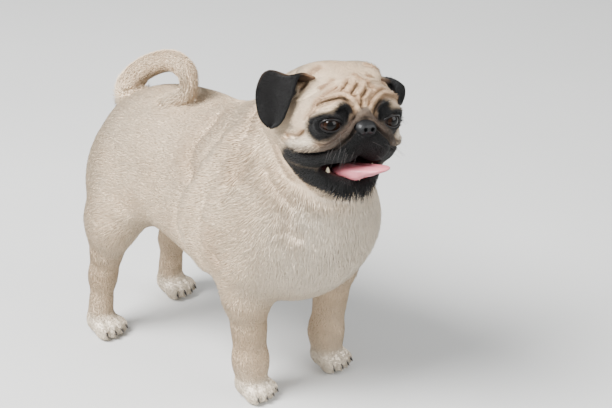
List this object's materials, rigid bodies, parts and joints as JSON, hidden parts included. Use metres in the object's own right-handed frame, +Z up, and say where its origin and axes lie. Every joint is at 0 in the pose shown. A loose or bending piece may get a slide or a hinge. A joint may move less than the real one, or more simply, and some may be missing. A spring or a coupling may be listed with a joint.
{
  "type": "pug dog model",
  "caption": "Still, life-size model of a fawn pug standing with its head turned, its mouth open and its tail curled over its back, for display on a flat floor",
  "frame": {"origin": "on the floor, under the middle of the whole dog's box", "axes": "+X to the dog's front, +Y to its left, +Z up"},
  "size_m": [0.4212, 0.1998, 0.3971],
  "materials": {
    "fawn": "matte",
    "pale": "matte",
    "mask": "matte",
    "ear": "matte",
    "nose": "satin",
    "eye": "gloss",
    "tongue": "satin"
  },
  "bodies": {
    "root": {"ear_left": "ear", "ear_right": "ear", "eye_left": "eye", "eye_right": "eye", "foreleg_left": "fawn", "foreleg_right": "fawn", "front_paw_left": "fawn", "front_paw_right": "fawn", "head": "fawn", "hind_leg_left": "fawn", "hind_leg_right": "fawn", "hind_paw_left": "fawn", "hind_paw_right": "fawn", "lower_jaw": "mask", "neck": "pale", "nose": "nose", "tail_base": "fawn", "tail_tip": "fawn", "thigh_left": "fawn", "thigh_right": "fawn", "tongue": "tongue", "torso": "fawn"}
  },
  "joints": []
}
